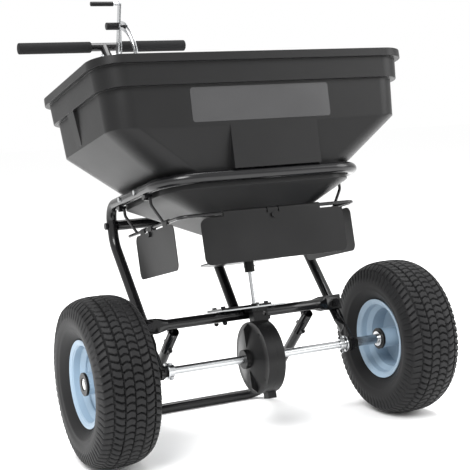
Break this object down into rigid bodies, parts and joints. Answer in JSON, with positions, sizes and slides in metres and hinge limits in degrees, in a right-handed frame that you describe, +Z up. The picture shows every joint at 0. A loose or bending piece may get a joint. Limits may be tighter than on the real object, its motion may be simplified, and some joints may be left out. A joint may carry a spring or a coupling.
{
  "type": "broadcast spreader",
  "caption": "Walk-behind broadcast spreader: plastic hopper on a bent tube frame with two pneumatic wheels, axle-driven spinner, side and front deflectors, flow lever and stand.",
  "frame": {"origin": "centre of the bounding box on the floor, parked on both wheels and the stand", "axes": "+X along the axle to the idle wheel, -Y towards the hopper front, +Y towards the push handle, +Z up"},
  "size_m": [0.7866, 0.995, 0.9676],
  "materials": {
    "tyre_rubber": "matte, turf tread",
    "rim_paint": "grey-blue satin enamel",
    "frame_paint": "gloss black powder coat",
    "sheet_paint": "satin black",
    "zinc": "bright zinc plate",
    "hopper_plastic": "fine moulded grain",
    "black_plastic": "semi-matte",
    "black_steel": "black oxide, lightly oiled",
    "gear_steel": "machined",
    "foam": "closed-cell foam"
  },
  "bodies": {
    "frame": {"brace_bolts": "black_steel", "crossbar_bolts": "black_steel", "crossbar_front": "frame_paint", "crossbar_rear": "frame_paint", "deflector_wire": "frame_paint", "flow_quadrant": "zinc", "front_deflector": "sheet_paint", "gate_guide": "zinc", "gearbox_left": "black_plastic", "gearbox_right": "black_plastic", "gearbox_screws": "zinc", "guide_bolts": "zinc", "handle_bolts": "zinc", "handle_grip_left": "foam", "handle_grip_right": "foam", "handle_tee": "frame_paint", "hopper": "hopper_plastic", "hopper_bolts": "zinc", "leg_bushes": "black_plastic", "lower_stem": "frame_paint", "main_frame": "frame_paint", "parking_stand": "frame_paint", "pivot_bolt": "zinc", "plate_bolts": "black_steel", "quadrant_spacers": "zinc", "rear_brace": "frame_paint", "shaft_plate": "zinc", "shaft_plate_bush": "black_plastic", "stand_bolts": "black_steel"},
    "axle": {"axle": "zinc", "axle_end_rings": "zinc", "axle_collars": "zinc", "axle_collar_bolts": "zinc", "axle_washers": "zinc", "wheel_spacers": "zinc", "wheel_drive_pin": "zinc", "tyre_left": "tyre_rubber", "rim_left": "rim_paint", "valve_left": "black_plastic", "hub_bushes_left": "black_plastic", "crown_gear": "gear_steel", "crown_gear_pin": "zinc"},
    "idle_wheel": {"tyre_right": "tyre_rubber", "rim_right": "rim_paint", "valve_right": "black_plastic", "hub_bushes_right": "black_plastic"},
    "spinner": {"impeller_shaft": "zinc", "pinion": "black_plastic", "impeller": "black_plastic", "impeller_pin": "zinc", "agitator": "zinc"},
    "lever": {"flow_lever": "zinc", "lever_grip": "black_plastic", "crank_clip": "zinc"},
    "knob": {"lock_knob": "black_plastic"},
    "gate": {"flow_gate": "zinc"},
    "rod": {"control_rod": "zinc"},
    "left_deflector": {"side_deflector_left": "sheet_paint"},
    "right_deflector": {"side_deflector_right": "sheet_paint"}
  },
  "joints": [
    {"name": "axle_spin", "type": "hinge", "parent": "frame", "child": "axle", "pos_m": [0, -0.3317, 0.165], "axis": [1, 0, 0], "continuous": true},
    {"name": "idle_wheel_spin", "type": "hinge", "parent": "axle", "child": "idle_wheel", "pos_m": [0, -0.3317, 0.165], "axis": [1, 0, 0], "continuous": true},
    {"name": "spinner_spin", "type": "hinge", "parent": "frame", "child": "spinner", "pos_m": [0.006, -0.3317, 0.165], "axis": [0, 0.1976, 0.9803], "continuous": true},
    {"name": "flow_lever", "type": "hinge", "parent": "frame", "child": "lever", "pos_m": [0.018, 0.44312, 0.79023], "axis": [1, 0, 0], "range_deg": [0, 36]},
    {"name": "gate_slide", "type": "slide", "parent": "frame", "child": "gate", "axis": [0, 0.9803, -0.1976], "range_m": [0, 0.0281]},
    {"name": "rod_swing", "type": "hinge", "parent": "gate", "child": "rod", "pos_m": [0.0238, -0.13591, 0.3772], "axis": [1, 0, 0], "range_deg": [0, 2]},
    {"name": "knob_turn", "type": "hinge", "parent": "lever", "child": "knob", "pos_m": [0.018, 0.41138, 0.90388], "axis": [1, 0, 0], "range_deg": [0, 360]},
    {"name": "left_deflector_swing", "type": "hinge", "parent": "frame", "child": "left_deflector", "pos_m": [-0.192, -0.28401, 0.44714], "axis": [0, 0.9803, -0.1976], "range_deg": [0, 80]},
    {"name": "right_deflector_swing", "type": "hinge", "parent": "frame", "child": "right_deflector", "pos_m": [0.192, -0.28401, 0.44714], "axis": [0, -0.9803, 0.1976], "range_deg": [0, 80]}
  ],
  "couplings": [
    {"joint": "spinner_spin", "follows": "axle_spin", "ratio": 4.8},
    {"joint": "gate_slide", "follows": "flow_lever", "m_per_rad": 0.044563},
    {"joint": "rod_swing", "follows": "flow_lever", "ratio": 0.045518}
  ]
}
